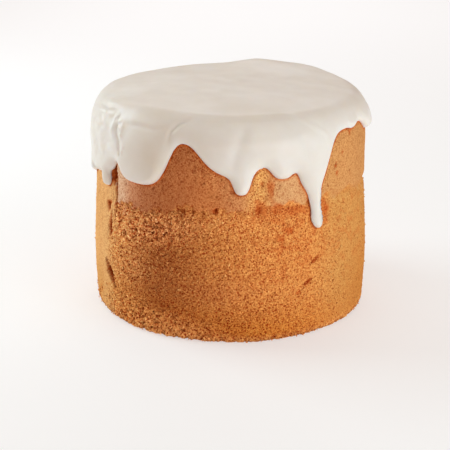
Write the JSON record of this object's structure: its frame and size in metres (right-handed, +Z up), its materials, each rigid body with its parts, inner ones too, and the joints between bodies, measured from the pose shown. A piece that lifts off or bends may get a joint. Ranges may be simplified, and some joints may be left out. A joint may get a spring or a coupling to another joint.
{
  "type": "orange chiffon cake",
  "caption": "Tall round orange chiffon cake under a thick poured cap of white icing that runs down its side in uneven drips.",
  "frame": {"origin": "middle of the flat base that the cake stands on", "axes": "+Z up; the pictured front faces -Y and +X is to its right"},
  "size_m": [0.1866, 0.1888, 0.1491],
  "materials": {
    "crumb": "matte baked sponge crumb, open and grainy, golden orange-brown",
    "icing": "satin set sugar icing, warm white"
  },
  "bodies": {
    "root": {"sponge": "crumb", "icing": "icing"}
  },
  "joints": []
}
